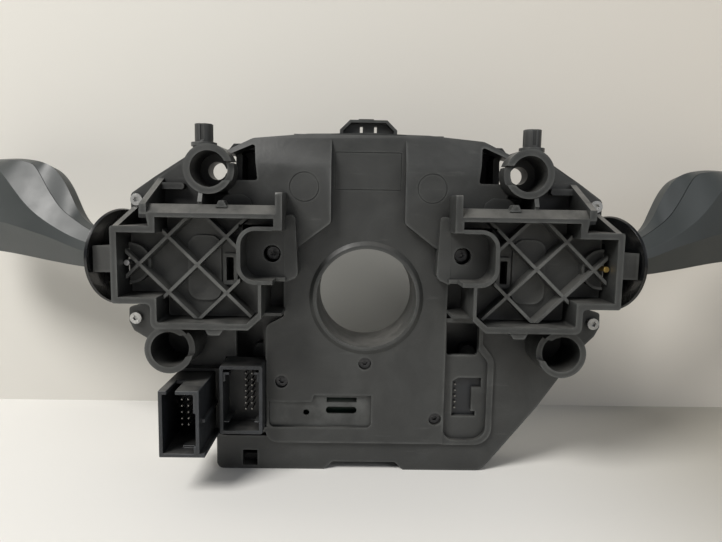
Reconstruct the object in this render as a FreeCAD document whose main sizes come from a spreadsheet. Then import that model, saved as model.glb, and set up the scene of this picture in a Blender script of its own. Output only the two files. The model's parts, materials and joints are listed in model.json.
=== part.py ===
import FreeCAD, Part
import math
import os
import Sketcher
from FreeCAD import Placement, Rotation, Vector

doc = FreeCAD.newDocument("column_switch")
sheet = doc.addObject("Spreadsheet::Sheet", "sizes")


# A length or an angle together with the spreadsheet expression that gives it
class Size:
    def __init__(self, number, text):
        self.number = number
        self.text = text

    def join(self, other, sign, result):
        other = size(other)
        return Size(result(self.number, other.number), "(" + self.text + " " + sign + " " + other.text + ")")

    def __add__(self, other):
        return self.join(other, "+", lambda a, b: a + b)

    def __sub__(self, other):
        return self.join(other, "-", lambda a, b: a - b)

    def __mul__(self, other):
        return self.join(other, "*", lambda a, b: a * b)

    def __truediv__(self, other):
        return self.join(other, "/", lambda a, b: a / b)

    def __neg__(self):
        return Size(-self.number, "(-1 * " + self.text + ")")

    def __radd__(self, other):
        return size(other) + self

    def __rsub__(self, other):
        return size(other) - self

    def __rmul__(self, other):
        return size(other) * self


def size(item):
    if isinstance(item, Size):
        return item
    return Size(float(item), repr(float(item)))


row = 0


def value(name, number):
    global row
    row = row + 1
    sheet.set("A" + str(row), name)
    sheet.set("B" + str(row), str(number))
    sheet.setAlias("B" + str(row), name)
    return Size(float(number), "sizes." + name)


def cosine(angle):
    return Size(math.cos(math.radians(angle.number)), "cos(" + angle.text + " * 1 deg)")


def sine(angle):
    return Size(math.sin(math.radians(angle.number)), "sin(" + angle.text + " * 1 deg)")


# Bore, sleeve and clock spring
bore_radius = value("bore_radius", 20.5)
bore_length = value("bore_length", 27)
sleeve_wall = value("sleeve_wall", 2)
lip_rise = value("lip_rise", 1.2)
hub_gap = value("hub_gap", 0.7)
hub_wall = value("hub_wall", 2.6)
case_radius = value("case_radius", 47.5)
case_wall = value("case_wall", 1.8)
case_gap = value("case_gap", 0.8)
case_depth = value("case_depth", 13)
spring_turns = value("spring_turns", 5)
spring_strip = value("spring_strip", 0.4)
spring_width = value("spring_width", 9)
rotor_radius = value("rotor_radius", 45.5)
rotor_wall = value("rotor_wall", 2.4)
cam_radius = value("cam_radius", 30)
cam_width = value("cam_width", 3)

# Levels of the mouldings, counted from the rear face of the centre plate
plate_wall = value("plate_wall", 2.5)
strip_step = value("strip_step", 1.8)
flange_rear = value("flange_rear", 5)
parting = value("parting", 8)
front_wall = value("front_wall", 2.5)
front_face = value("front_face", 24)
shoulder_rise = value("shoulder_rise", 5)
tray_rise = value("tray_rise", 21.5)
floor_rise = value("floor_rise", 7)
floor_wall = value("floor_wall", 2.5)
rib_rise = value("rib_rise", 14.2)
rib_wall = value("rib_wall", 1.2)

# Outline of the housing
bottom_edge = value("bottom_edge", 74.6)
bottom_left = value("bottom_left", 62.5)
bottom_right = value("bottom_right", 50.5)
top_edge = value("top_edge", 67.6)
top_corner_across = value("top_corner_across", 46.3)
top_corner_up = value("top_corner_up", 64.6)
ear_across = value("ear_across", 97.4)
ear_low = value("ear_low", 35.1)
ear_round = value("ear_round", 4.5)
waist_across = value("waist_across", 94.6)

# Screws at the four corners
screw_up_across = value("screw_up_across", 94.6)
screw_up = value("screw_up", 39)
screw_low_across = value("screw_low_across", 96.1)
screw_down = value("screw_down", 10.2)
screw_head = value("screw_head", 2.45)
screw_shank = value("screw_shank", 1.5)
screw_length = value("screw_length", 9)
screw_gap = value("screw_gap", 0.15)
torx_radius = value("torx_radius", 1.25)

# Mounting tubes
tube_across = value("tube_across", 60.5)
tube_up = value("tube_up", 50.9)
socket_across = value("socket_across", 76.4)
socket_down = value("socket_down", 18.5)
tube_radius = value("tube_radius", 9.35)
tube_bore = value("tube_bore", 6.8)
tube_rise = value("tube_rise", 16.7)
tube_floor = value("tube_floor", 0.7)
bolt_radius = value("bolt_radius", 3.6)

# Trays for the two switch modules
tray_out = value("tray_out", 95.9)
tray_top = value("tray_top", 29.3)
tray_low = value("tray_low", 0.2)
tray_wall = value("tray_wall", 2.4)
tray_step = value("tray_step", 81.6)
tray_bottom = value("tray_bottom", 9.4)
tray_inner = value("tray_inner", 41.2)
inner_wall = value("inner_wall", 1.2)
ledge_low = value("ledge_low", 32.7)
ledge_top = value("ledge_top", 37.6)
post_in = value("post_in", 32.2)
post_wall = value("post_wall", 2.6)
post_top = value("post_top", 42.5)
cup_low = value("cup_low", 8)
cup_top = value("cup_top", 29.7)
cup_out = value("cup_out", 49.2)
cup_round = value("cup_round", 7)
cup_wall = value("cup_wall", 1.5)
cup_rise = value("cup_rise", 8.6)
panel_gap = value("panel_gap", 0.2)
module_screw_across = value("module_screw_across", 37.6)
module_screw_up = value("module_screw_up", 18.7)
module_seat = value("module_seat", 2.4)
module_front = value("module_front", 14)
module_wall = value("module_wall", 1.6)

# Levers
pivot_across = value("pivot_across", 92.2)
pivot_up = value("pivot_up", 15)
pivot_pin = value("pivot_pin", 1.1)
hinge_depth = value("hinge_depth", 2.5)
hinge_pin = value("hinge_pin", 1.6)
rocker_radius = value("rocker_radius", 5.4)
run_gap = value("run_gap", 0.05)
lever_angle = value("lever_angle", 26)
lever_across = value("lever_across", 101.4)
lever_depth = value("lever_depth", 6.2)
disc_up = value("disc_up", 15.4)
disc_radius = value("disc_radius", 19.9)
disc_bulge = value("disc_bulge", 4.2)
disc_wall = value("disc_wall", 1.3)
neck_low = value("neck_low", 10.3)
neck_top = value("neck_top", 20.8)
stem_radius = value("stem_radius", 4.6)
grip_start = value("grip_start", 12)
grip_end = value("grip_end", 115)
grip_wall = value("grip_wall", 2.2)
wheel_start = value("wheel_start", 75.4)
wheel_width = value("wheel_width", 12.6)
wheel_radius = value("wheel_radius", 12)
wheel_up = value("wheel_up", 38.6)

# Electronics and connectors
board_rear = value("board_rear", 6)
board_wall = value("board_wall", 1.6)
pin_pitch = value("pin_pitch", 2.54)
pin_side = value("pin_side", 0.64)
tall_out = value("tall_out", 78)
tall_in = value("tall_in", 62.7)
tall_top = value("tall_top", 31.9)
tall_low = value("tall_low", 57.8)
tall_rise = value("tall_rise", 26)
mid_out = value("mid_out", 58.9)
mid_in = value("mid_in", 41.5)
mid_top = value("mid_top", 26.8)
mid_low = value("mid_low", 55.2)
mid_rise = value("mid_rise", 9)
shell_wall = value("shell_wall", 1.5)
shell_gap = value("shell_gap", 0.3)
recess_depth = value("recess_depth", 2.6)

doc.recompute()

zero = size(0)
pieces = []


def origin_plane(body, role):
    return next(part for part in body.Origin.OriginFeatures if part.Role == role)


def make_body(label):
    body = doc.addObject("PartDesign::Body", label)
    body.Label = label
    if hasattr(body, "AllowCompound"):
        body.AllowCompound = True
    pieces.append(body)
    return body


class Round:
    def __init__(self, across, up, radius):
        self.across = size(across)
        self.up = size(up)
        self.radius = size(radius)


# Draws one closed outline through its corners, each (across, up) or (across, up, rounding)
def draw_outline(sketch, corners, rules):
    count = len(corners)
    points = [Vector(size(c[0]).number, size(c[1]).number, 0) for c in corners]
    bends = [None] * count
    starts = []
    ends = []
    for i in range(count):
        here = points[i]
        before = points[i - 1]
        after = points[(i + 1) % count]
        if len(corners[i]) < 3 or size(corners[i][2]).number <= 0:
            starts.append(here)
            ends.append(here)
            continue
        radius = size(corners[i][2]).number
        back = (before - here).normalize()
        ahead = (after - here).normalize()
        angle = back.getAngle(ahead)
        reach = radius / math.tan(angle / 2)
        centre = here + (back + ahead).normalize() * (radius / math.sin(angle / 2))
        starts.append(here + back * reach)
        ends.append(here + ahead * reach)
        first = math.atan2(starts[i].y - centre.y, starts[i].x - centre.x)
        last = math.atan2(ends[i].y - centre.y, ends[i].x - centre.x)
        left_turn = (here - before).cross(after - here).z > 0
        bends[i] = (centre, radius, first, last, left_turn)
    base = sketch.GeometryCount
    shapes = [Part.LineSegment(ends[i], starts[(i + 1) % count]) for i in range(count)]
    lines = [base + i for i in range(count)]
    arcs = {}
    for i in range(count):
        if bends[i]:
            centre, radius, first, last, left_turn = bends[i]
            circle = Part.Circle(centre, Vector(0, 0, 1), radius)
            arcs[i] = base + len(shapes)
            if left_turn:
                shapes.append(Part.ArcOfCircle(circle, first, last))
            else:
                shapes.append(Part.ArcOfCircle(circle, last, first))
    sketch.addGeometry(shapes, False)
    helpers = {}
    for i in arcs:
        helpers[i] = sketch.addGeometry(Part.Point(points[i]), True)
    for i in range(count):
        line = lines[i]
        before = lines[i - 1]
        across = size(corners[i][0])
        up = size(corners[i][1])
        if i not in arcs:
            rules.append((Sketcher.Constraint("Coincident", before, 2, line, 1), None))
            rules.append((Sketcher.Constraint("DistanceX", line, 1, across.number), across))
            rules.append((Sketcher.Constraint("DistanceY", line, 1, up.number), up))
            continue
        point = helpers[i]
        arc = arcs[i]
        left_turn = bends[i][4]
        radius = size(corners[i][2])
        rules.append((Sketcher.Constraint("DistanceX", point, 1, across.number), across))
        rules.append((Sketcher.Constraint("DistanceY", point, 1, up.number), up))
        rules.append((Sketcher.Constraint("PointOnObject", point, 1, before), None))
        rules.append((Sketcher.Constraint("PointOnObject", point, 1, line), None))
        rules.append((Sketcher.Constraint("Tangent", before, 2, arc, 1 if left_turn else 2), None))
        rules.append((Sketcher.Constraint("Tangent", arc, 2 if left_turn else 1, line, 1), None))
        rules.append((Sketcher.Constraint("Radius", arc, radius.number), radius))


def draw_circle(sketch, item, rules):
    centre = Vector(item.across.number, item.up.number, 0)
    circle = sketch.addGeometry(Part.Circle(centre, Vector(0, 0, 1), item.radius.number), False)
    rules.append((Sketcher.Constraint("DistanceX", circle, 3, item.across.number), item.across))
    rules.append((Sketcher.Constraint("DistanceY", circle, 3, item.up.number), item.up))
    rules.append((Sketcher.Constraint("Radius", circle, item.radius.number), item.radius))


def fill_sketch(sketch, shapes):
    rules = []
    for shape in shapes:
        if isinstance(shape, Round):
            draw_circle(sketch, shape, rules)
        else:
            draw_outline(sketch, shape, rules)
    first = sketch.ConstraintCount
    sketch.addConstraint([rule for rule, bound in rules])
    for i in range(len(rules)):
        if rules[i][1] is not None:
            sketch.setExpression("Constraints[" + str(first + i) + "]", rules[i][1].text)


def make_sketch(body, name, plane, shapes, across, depth, up):
    sketch = body.newObject("Sketcher::SketchObject", name + "_outline")
    sketch.AttachmentSupport = [(origin_plane(body, plane), "")]
    sketch.MapMode = "FlatFace"
    fill_sketch(sketch, shapes)
    for axis, shift in (("x", across), ("y", depth), ("z", up)):
        if size(shift).text != "0.0":
            sketch.setExpression(".AttachmentOffset.Base." + axis, size(shift).text)
    return sketch


# A moulding made of extruded outlines: material is joined in one go, then openings are cut in one go
class Moulding:
    def __init__(self, label):
        self.label = label
        self.shape = None
        self.stage = 0
        self.solids = []
        self.tools = []

    def join(self, items, word):
        if len(items) == 1:
            return items[0]
        union = doc.addObject("Part::MultiFuse", self.label + "_" + word + str(self.stage))
        union.Shapes = items
        union.Refine = False
        return union

    def close_stage(self):
        self.stage = self.stage + 1
        if self.solids:
            first = [self.shape] if self.shape else []
            self.shape = self.join(first + self.solids, "joined")
        if self.tools:
            tool = self.join(self.tools, "openings")
            trimmed = doc.addObject("Part::Cut", self.label + "_trimmed" + str(self.stage))
            trimmed.Base = self.shape
            trimmed.Tool = tool
            trimmed.Refine = False
            self.shape = trimmed
        self.solids = []
        self.tools = []

    def finish(self):
        self.close_stage()
        self.shape.Label = self.label
        pieces.append(self.shape)
        return self.shape


def free_sketch(name, plane, shapes, level):
    sketch = doc.addObject("Sketcher::SketchObject", name + "_outline")
    turns = {"XZ_Plane": Rotation(Vector(1, 0, 0), 90), "XY_Plane": Rotation(), "YZ_Plane": Rotation(Vector(1, 1, 1), 120)}
    sketch.Placement = Placement(Vector(0, 0, 0), turns[plane])
    fill_sketch(sketch, shapes)
    axis = {"XZ_Plane": "y", "XY_Plane": "z", "YZ_Plane": "x"}[plane]
    sketch.setExpression(".Placement.Base." + axis, level.text)
    return sketch


def extrude(name, plane, shapes, start, stop):
    sketch = free_sketch(name, plane, shapes, start)
    solid = doc.addObject("Part::Extrusion", name)
    solid.Base = sketch
    solid.DirMode = "Normal"
    solid.FaceMakerClass = "Part::FaceMakerBullseye"
    solid.Solid = True
    solid.Reversed = plane == "XZ_Plane"
    solid.setExpression("LengthFwd", (stop - start).text)
    return solid


# Adds material along +Y, +Z or +X, from the level start to the level stop
def add(body, name, shapes, start, stop, plane="XZ_Plane"):
    start = size(start)
    stop = size(stop)
    if isinstance(body, Moulding):
        if body.tools:
            body.close_stage()
        body.solids.append(extrude(body.label + "_" + name, plane, shapes, start, stop))
        return body.solids[-1]
    level = -start if plane == "XZ_Plane" else start
    sketch = make_sketch(body, name, plane, shapes, 0, 0, level)
    pad = body.newObject("PartDesign::Pad", name)
    pad.Profile = sketch
    pad.setExpression("Length", (stop - start).text)
    pad.Reversed = plane == "XZ_Plane"
    return pad


# Removes material along +Y, +Z or +X, from the level start to the level stop
def cut(body, name, shapes, start, stop, plane="XZ_Plane"):
    start = size(start)
    stop = size(stop)
    if isinstance(body, Moulding):
        body.tools.append(extrude(body.label + "_" + name, plane, shapes, start, stop))
        return body.tools[-1]
    level = -start if plane == "XZ_Plane" else start
    sketch = make_sketch(body, name, plane, shapes, 0, 0, level)
    pocket = body.newObject("PartDesign::Pocket", name)
    pocket.Profile = sketch
    pocket.setExpression("Length", (stop - start).text)
    pocket.Reversed = plane != "XZ_Plane"
    return pocket


# Turns a profile of (radius, level) corners about an axis along Y through (across, up)
def turn(body, name, profile, across, up, remove=False):
    across = size(across)
    up = size(up)
    if isinstance(body, Moulding):
        if body.tools and not remove:
            body.close_stage()
        sketch = free_sketch(body.label + "_" + name, "XY_Plane", [profile], up)
        sketch.setExpression(".Placement.Base.x", across.text)
        solid = doc.addObject("Part::Revolution", body.label + "_" + name)
        solid.Source = sketch
        solid.Axis = Vector(0, 1, 0)
        solid.setExpression("Base.x", across.text)
        solid.setExpression("Base.z", up.text)
        solid.Angle = 360
        solid.Solid = True
        (body.tools if remove else body.solids).append(solid)
        return solid
    sketch = make_sketch(body, name, "XY_Plane", [profile], across, 0, up)
    kind = "PartDesign::Groove" if remove else "PartDesign::Revolution"
    feature = body.newObject(kind, name)
    feature.Profile = sketch
    feature.ReferenceAxis = (sketch, ["V_Axis"])
    feature.Angle = 360
    return feature


def mirrored(corners, side):
    turned_round = []
    for corner in corners:
        turned_round.append((size(corner[0]) * side,) + tuple(corner[1:]))
    return turned_round


def both(corners):
    return [mirrored(corners, -1), corners]


def around(across, up, radius):
    return [Round(-size(across), up, radius), Round(across, up, radius)]


def box(left, low, right, top, rounding=0):
    return [(left, low, rounding), (right, low, rounding), (right, top, rounding), (left, top, rounding)]


def repeat(body, name, feature, step, axis, number):
    pattern = body.newObject("PartDesign::LinearPattern", name + "_row")
    pattern.Originals = [feature]
    pattern.Direction = (feature.Profile[0], [axis])
    pattern.Reversed = size(step).number < 0
    stride = size(step) if size(step).number > 0 else -size(step)
    if hasattr(pattern, "Mode"):
        pattern.Mode = "Spacing"
        pattern.setExpression("Offset", stride.text)
    else:
        pattern.setExpression("Length", (stride * (number - 1)).text)
    pattern.Occurrences = number
    body.Tip = pattern
    return pattern


# Rear housing: the moulding that faces the steering column
rear = Moulding("rear_housing")

housing_outline = [
    (bottom_right, -bottom_edge, 6),
    (73, -46.5),
    (86, -27.5),
    (ear_across, -screw_down - 5.6),
    (ear_across + 2, -screw_down - 1.6),
    (ear_across + 1.8, -screw_down + 4.4, 1.2),
    (waist_across, -screw_down + 5.6),
    (waist_across, ear_low - 0.8),
    (ear_across, ear_low, 1.2),
    (ear_across, screw_up + 2.4, 2.4),
    (87.5, 48.4),
    (71.6, tube_up + 7.8),
    (71.6, tube_up + 10.1),
    (62.6, tube_up + 10.1),
    (59, tube_up + 6.6),
    (top_corner_across, top_corner_up),
    (24, top_edge - 0.9),
    (0, top_edge),
    (-24, top_edge - 0.9),
    (-top_corner_across, top_corner_up),
    (-59, tube_up + 6.6),
    (-62.6, tube_up + 10.1),
    (-71.6, tube_up + 10.1),
    (-71.6, tube_up + 7.8),
    (-87.5, 48.4),
    (-ear_across, screw_up + 2.4, 2.4),
    (-ear_across, ear_low, 1.2),
    (-waist_across, ear_low - 0.8),
    (-waist_across, -screw_down + 5.6),
    (-ear_across - 1.8, -screw_down + 4.4, 1.2),
    (-ear_across - 2, -screw_down - 1.6),
    (-ear_across, -screw_down - 5.6),
    (-tall_out - 0.2, -27.5),
    (-tall_out + 0.2, -tall_low + 0.2),
    (-bottom_left, -tall_low + 0.2),
    (-bottom_left, -bottom_edge, 3),
    (-17, -bottom_edge),
    (-13.3, 3.4 - bottom_edge),
    (13.3, 3.4 - bottom_edge),
    (17, -bottom_edge),
]
add(rear, "flange", [housing_outline], flange_rear, parting)
strip_outline = [
    (bottom_right, -bottom_edge, 6),
    (73, -46.5),
    (86, -27.5),
    (86, -8.5),
    (30, -8.5),
    (-mid_in, -60),
    (-mid_out, -60),
    (-bottom_left, -59),
    (-bottom_left, -bottom_edge, 3),
    (-17, -bottom_edge),
    (-13.3, 3.4 - bottom_edge),
    (13.3, 3.4 - bottom_edge),
    (17, -bottom_edge),
]
add(rear, "lower_strip", [strip_outline], strip_step, flange_rear)
plate_outline = [
    (-mid_in, -62.2, 5),
    (33.4, -62.2),
    (33.4, -8),
    (34, 40),
    (30, 66.2),
    (-30, 66.2),
    (-34, 40),
    (-34, -8),
    (-mid_in, -12, 4),
]
add(rear, "centre_plate", [plate_outline], 0, flange_rear)
add(rear, "header_wall", [box(-tall_out + 0.2, -tall_low + 0.2, -mid_in + 1, -30.5)], 0, flange_rear)
recess_lip = [
    (33, -62.6),
    (54, -62.6, 7.5),
    (54, -25, 6),
    (49, -18.8, 2),
    (49, -8),
    (33, -8),
]
add(rear, "recess_lip", [recess_lip], 0.4, flange_rear)

back_wall = [(31, 30), (84.5, 30), (86.5, 47), (72, 57), (57, 58), (top_corner_across - 1, top_corner_up - 1), (31, 65)]
add(rear, "back_wall", both(back_wall), 1.5, flange_rear)
shoulder = [
    (14.8, 66.6, 1),
    (14.8, 31, 2),
    (27.5, 21.3, 1.5),
    (34, 21.3),
    (34, 36),
    (50, 36),
    (57.5, 45, 3),
    (57.5, 58.3),
    (top_corner_across, top_corner_up - 0.4, 5),
    (24, top_edge - 1.2),
]
for side, word in ((-1, "left"), (1, "right")):
    add(rear, "shoulder_" + word, [mirrored(shoulder, side)], -shoulder_rise, 2)
tray_outer = [
    (tray_out, tray_top, 1),
    (tray_out, tray_low, 1),
    (tray_step, tray_low, 1.6),
    (tray_step, -tray_bottom, 2.6),
    (tray_inner + 3.8, -tray_bottom),
    (tray_inner - inner_wall, -tray_bottom + 4.6),
    (tray_inner - inner_wall, cup_low),
    (post_in, cup_low),
    (post_in, ledge_top),
    (tray_step + 1.4, ledge_top, 0.8),
    (tray_step, tray_top),
]
for side, word in ((-1, "left"), (1, "right")):
    add(rear, "tray_wall_" + word, [mirrored(tray_outer, side)], -tray_rise, flange_rear)
add(rear, "tubes", around(tube_across, tube_up, tube_radius) + around(socket_across, -socket_down, tube_radius), -tube_rise, flange_rear)
for side, word in ((-1, "left"), (1, "right")):
    # Radial rib, gusset and the outer web of the tray
    foot = tube_up - tube_radius + 0.6
    radial = [(-tube_rise - 2.3, ledge_top - 0.5), (-tube_rise + 0.4, foot), (2, foot), (2, ledge_top - 0.5)]
    low = size(62.6) if side > 0 else size(-64.2)
    add(rear, "radial_rib_" + word, [radial], low, low + 1.6, "YZ_Plane")
    gusset = [
        (-tray_rise, ledge_low + 1),
        (-tray_rise, ledge_top),
        (2.5, 48.3),
        (flange_rear, 48.3),
        (flange_rear, ledge_low + 1),
    ]
    low = tray_step + 0.8 if side > 0 else -tray_step - 3.2
    add(rear, "gusset_" + word, [gusset], low, low + 2.4, "YZ_Plane")
    web = [(-tray_rise, tray_top - 1), (flange_rear, ear_low + 1.6), (flange_rear, tray_top - 1)]
    low = tray_out - 2.2 if side > 0 else -tray_out
    add(rear, "outer_web_" + word, [web], low, low + 2.2, "YZ_Plane")
add(rear, "cross_rib", both(box(73.5, 43.4, 85, 46, 1.1)), -2.4, 2)
add(rear, "screw_block", both(box(83.5, 32, 89.5, 35.6, 0.5)), -9, flange_rear)
socket_pad = [(70, -9), (86.5, -9), (88.6, -18), (84, -26), (78, -28.4)]
add(rear, "socket_pad", both(socket_pad), 1.5, flange_rear)

# The shoulders fall away towards the top edge
crest = [(-7, 50.4), (3, 70.4), (3, 75), (-7, 75)]
cut(rear, "crest_slope", [crest], -58, 58, "YZ_Plane")
# Hollow of the tray, which the switch module fills from inside
hollow = [
    (tray_out - tray_wall, tray_top - tray_wall),
    (tray_out - tray_wall, tray_low + tray_wall),
    (tray_step - tray_wall, tray_low + tray_wall),
    (tray_step - tray_wall, -tray_bottom + tray_wall, 1),
    (tray_inner + 4.4, -tray_bottom + tray_wall),
    (tray_inner, -tray_bottom + 6.4),
    (tray_inner, cup_low),
    (cup_out, cup_low, cup_round),
    (cup_out, cup_top, cup_round),
    (post_in + post_wall + 0.6, cup_top),
    (post_in + post_wall + 0.6, ledge_low),
    (tray_step - tray_wall, ledge_low),
    (tray_step - tray_wall, tray_top - tray_wall),
]
cup = [
    (post_in - 1, cup_low + cup_wall),
    (cup_out - cup_wall, cup_low + cup_wall, cup_round - cup_wall),
    (cup_out - cup_wall, cup_top - cup_wall, cup_round - cup_wall),
    (post_in - 1, cup_top - cup_wall),
]
for side, word in ((-1, "left"), (1, "right")):
    cut(rear, "tray_hollow_" + word, [mirrored(hollow, side)], -tray_rise - 1, parting + 1)
    # Rear rim of the post falls away below the ledge
    low = post_in - 1 if side > 0 else -post_in - post_wall - 1
    post_fall = [
        (-tray_rise - 1, 28.5),
        (-tray_rise + 0.6, 28.5),
        (-13.5, 21, 6),
        (-10.5, cup_low - 1),
        (-tray_rise - 1, cup_low - 1),
    ]
    cut(rear, "post_fall_" + word, [post_fall], low, low + post_wall + 2, "YZ_Plane")
# Cup round the module screw, open towards the bore
cut(rear, "cup_hollow", both(cup), -tray_rise - 1, -cup_rise)
cup_cavity = box(post_in + 2.2, cup_low + 1.6, cup_out - 1.8, cup_top - 1.8)
cut(rear, "cup_cavity", both(cup_cavity), -cup_rise + 2.2, parting + 1)
# The rear face of the ledge leans back, so its upper edge is bevelled
ledge_bevel = [
    (-tray_rise - 1, ledge_low + 1.6),
    (-tray_rise, ledge_low + 1.6),
    (-tray_rise + 4, ledge_top),
    (-tray_rise + 4, ledge_top + 1),
    (-tray_rise - 1, ledge_top + 1),
]
cut(rear, "ledge_bevel_left", [ledge_bevel], -tray_step - 0.6, -post_in - post_wall, "YZ_Plane")
cut(rear, "ledge_bevel_right", [ledge_bevel], post_in + post_wall, tray_step + 0.6, "YZ_Plane")
# Hollow behind the plate, seen from inside
cavity = [
    (-75, -55.5),
    (-43.5, -55.5),
    (-39, -59.5),
    (31, -59.5),
    (31, -8),
    (30, 34),
    (42, 38),
    (42, 60.5),
    (-42, 60.5),
    (-42, 38),
    (-30, 34),
    (-31, -8),
    (-38.8, -14),
    (-38.8, -33),
    (-75, -33),
]
cut(rear, "plate_cavity", [cavity], plate_wall, parting + 1)
cut(rear, "strip_cavity", [box(-59.8, 4.2 - bottom_edge, -20, -61)], strip_step + plate_wall, parting + 1)
right_cavity = [
    (20, 4.2 - bottom_edge),
    (46, 4.2 - bottom_edge),
    (68, -44),
    (66, -30),
    (54, -12.5),
    (30, -12.5),
    (30, -61),
    (20, -61),
]
cut(rear, "right_cavity", [right_cavity], strip_step + plate_wall + 0.2, parting + 1)
shoulder_cavity = [(17.5, 36), (29, 27), (29.5, 36), (41, 40), (41, 54), (17.5, 54)]
cut(rear, "shoulder_cavity", both(shoulder_cavity), -shoulder_rise + 2.4, plate_wall + 1)

# Post at the inner end of the ledge, cheek beside it and latch bump on the ledge
for side, word in ((-1, "left"), (1, "right")):
    across = post_in if side > 0 else -post_in - post_wall
    post = [(-tray_rise, ledge_low), (-tray_rise, post_top, 1), (-2, post_top), (-2, ledge_low)]
    add(rear, "post_" + word, [post], across, across + post_wall, "YZ_Plane")
cheek = [(27.4, 9.5, 3), (post_in + 0.6, 7.2), (post_in + 0.6, 33.4), (28.6, 35, 2)]
add(rear, "cheek", both(cheek), -8.8, 1)
add(rear, "thin_ledge", both(box(33.5, -5.6, tray_inner - 0.4, -4.4)), -12, flange_rear)
bump = [(52.8, ledge_top - 1), (57.2, ledge_top - 1), (56, ledge_top + 1.6, 0.5), (54.2, ledge_top + 1.6, 0.5)]
add(rear, "bump", both(bump), -19.4, -14)
mound = [(45.6, 35), (46.4, 39.6, 1.6), (49.6, 41.8, 2.4), (56, 41.4, 2.4), (59, 38.6, 1.6), (59.4, 35)]
add(rear, "mound", both(mound), -5.6, 2)
edge_tab = [
    (54, -tray_bottom + 0.5),
    (61.6, -tray_bottom + 0.5),
    (60, -tray_bottom - 2.2, 0.6),
    (55.8, -tray_bottom - 2.2, 0.6),
]
add(rear, "edge_tab", both(edge_tab), -tray_rise + 0.4, -4)
# Finger in the wall of the lower tube
finger = [
    (socket_across - 8.6, -socket_down + 2.2),
    (socket_across - 8, -socket_down + 3.6),
    (socket_across - 3, -socket_down + 6.4, 0.5),
    (socket_across - 3.4, -socket_down + 5, 0.5),
]
add(rear, "socket_finger", both(finger), -tube_rise + 1, flange_rear)
cover_seats = [(-34.9, -35.8), (-0.2, -27.6), (29.8, -51.3)]
add(rear, "cover_bosses", [Round(x, z, 3.9) for x, z in cover_seats], 1, board_rear - 0.1)
# Sleeve with a raised rounded lip at the rear
sleeve_outer = bore_radius + sleeve_wall
sleeve = [
    (bore_radius - 1, -0.1),
    (sleeve_outer, -0.1),
    (sleeve_outer, bore_length - 0.4),
    (sleeve_outer - 0.4, bore_length),
    (bore_radius - 1, bore_length),
]
turn(rear, "sleeve", sleeve, 0, 0)
lip = [
    (bore_radius - 1, -lip_rise),
    (bore_radius + 1.4, -lip_rise, 0.6),
    (bore_radius + 3.2, 0.1),
    (bore_radius + 3.2, 1),
    (bore_radius - 1, 1),
]
turn(rear, "bore_lip", lip, 0, 0)

cut(rear, "bore", [Round(0, 0, bore_radius)], -lip_rise - 1, bore_length + 1)
cut(rear, "lower_tube_bores", around(socket_across, -socket_down, tube_bore + 0.2), -tube_rise - 1, flange_rear + 0.5)
cut(rear, "upper_tube_bores", around(tube_across, tube_up, tube_bore), -tube_rise - 1, -tube_floor)
cut(rear, "bolt_holes", around(tube_across, tube_up, bolt_radius), -tube_floor - 1, parting + 1)
inner_edge = tube_across - tube_radius - 1
slot = [(tube_across - 5, tube_up - 4.2), (tube_across - 5, tube_up + 3), (inner_edge, tube_up + 3), (inner_edge, tube_up - 4.2)]
cut(rear, "tube_slots", both(slot), -tube_rise - 1, -tube_rise + 2.6)
split = [(tube_across - 5, tube_up + 2.4), (tube_across - 5, tube_up + 3), (inner_edge, tube_up + 3), (inner_edge, tube_up + 2.4)]
cut(rear, "tube_splits", both(split), -tube_rise - 0.5, -tube_rise + 11)
inner_edge = socket_across - tube_radius - 1
slot = [
    (socket_across - 5.5, -socket_down - 3),
    (socket_across - 4, -socket_down + 5.4),
    (inner_edge, -socket_down + 7.2),
    (inner_edge, -socket_down - 2),
]
cut(rear, "socket_slots", both(slot), -tube_rise - 1, -tube_rise + 3)
pocket = [(43.8, 47.3, 1), (57, 47.3), (57, 57), (54.8, 57.6), (45.4, 62, 1)]
cut(rear, "upper_pockets", both(pocket), -shoulder_rise - 1, parting + 1)
# Details of the lower plate
low_recess = [
    (-40.1, -55.4, 2),
    (1.6, -55.4),
    (2.8, -54),
    (2.8, -41.4),
    (-21.3, -41.4),
    (-22.3, -44.4),
    (-40.1, -44.4),
]
cut(rear, "low_recess", [low_recess], -1, 1.6)
slots = [Round(-24.6, -49.4, 1.3), box(-16, -44.9, -3.3, -42.8), box(-16.3, -49.9, -3.3, -46.8, 1.5)]
cut(rear, "slots", slots, 0, board_rear - 0.5)
side_recess = [
    (33.4, -60.6, 5),
    (51.4, -60.6, 6),
    (51.4, -26.4, 5),
    (46.6, -20.4, 2),
    (46.6, -9.6, 2),
    (33.4, -9.6),
]
cut(rear, "side_recess", [side_recess], -1, recess_depth)
cut(rear, "recess_window", [box(34.2, -24, 47.4, -10.4, 1.2)], 0, parting + 1)
pin_socket = [
    (37.2, -50.6),
    (47.2, -50.6),
    (47.2, -48.4),
    (45.4, -48.4),
    (45.4, -38),
    (49.4, -38),
    (49.4, -33.8),
    (39.6, -33.8),
    (37.2, -35.4),
]
cut(rear, "pin_socket", [pin_socket], 0, parting + 0.5)
cut(rear, "square_hole", [box(-51.6, -73.1, -45.3, -66.3, 0.3)], 0, parting + 1)
cut(rear, "panel_window", [box(-54.6, -mid_top - 3.4, -mid_in - 1.6, -11.4)], -1, parting + 1)
frame_mark = [box(-13.4, 44.2, 13.4, 59.4), box(-13, 44.6, 13, 59)]
cut(rear, "frame_mark", frame_mark, -1, 0.25)
ring_mark = around(25.4, 45.1, 6) + around(25.4, 45.1, 5.5)
cut(rear, "ring_marks", ring_mark, -shoulder_rise - 1, -shoulder_rise + 0.25)
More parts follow.
